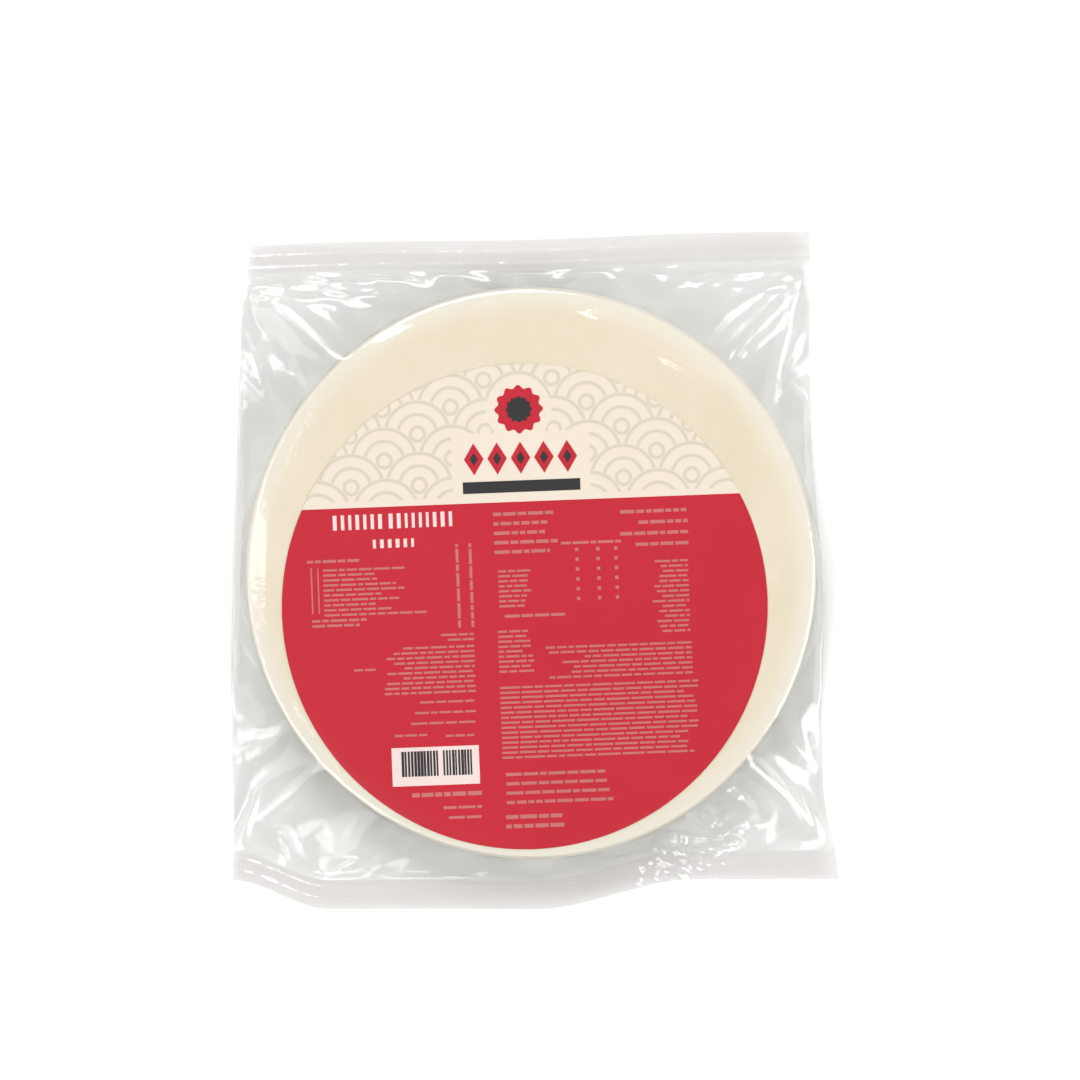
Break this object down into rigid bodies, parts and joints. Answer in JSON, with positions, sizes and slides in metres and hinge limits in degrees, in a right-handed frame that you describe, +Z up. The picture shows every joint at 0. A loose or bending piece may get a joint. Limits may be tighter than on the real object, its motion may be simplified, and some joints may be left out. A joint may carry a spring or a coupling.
{
  "type": "pack of round rice paper wrappers",
  "caption": "Flat round stack of dried rice paper sheets with a round paper label, sealed in a loose clear film bag with flat seals at top and bottom.",
  "frame": {"origin": "under the middle of the bag's outline, on the surface that the pack lies on", "axes": "+X to the label's right, +Y towards the top seal, +Z up out of the label"},
  "size_m": [0.236, 0.2632, 0.0183],
  "materials": {
    "film": "thin clear glossy film, lightly wrinkled",
    "rice_paper": "dry translucent cream sheet with the fine pattern of a drying mat",
    "label_paper": "smooth coated cream paper",
    "red_print": "printed red field, slightly glossy",
    "pale_print": "pale print on the red field",
    "dark_print": "black print",
    "white_panel": "white panel under the striped code"
  },
  "bodies": {
    "root": {"sealed_bag": "film"}
  },
  "joints": []
}
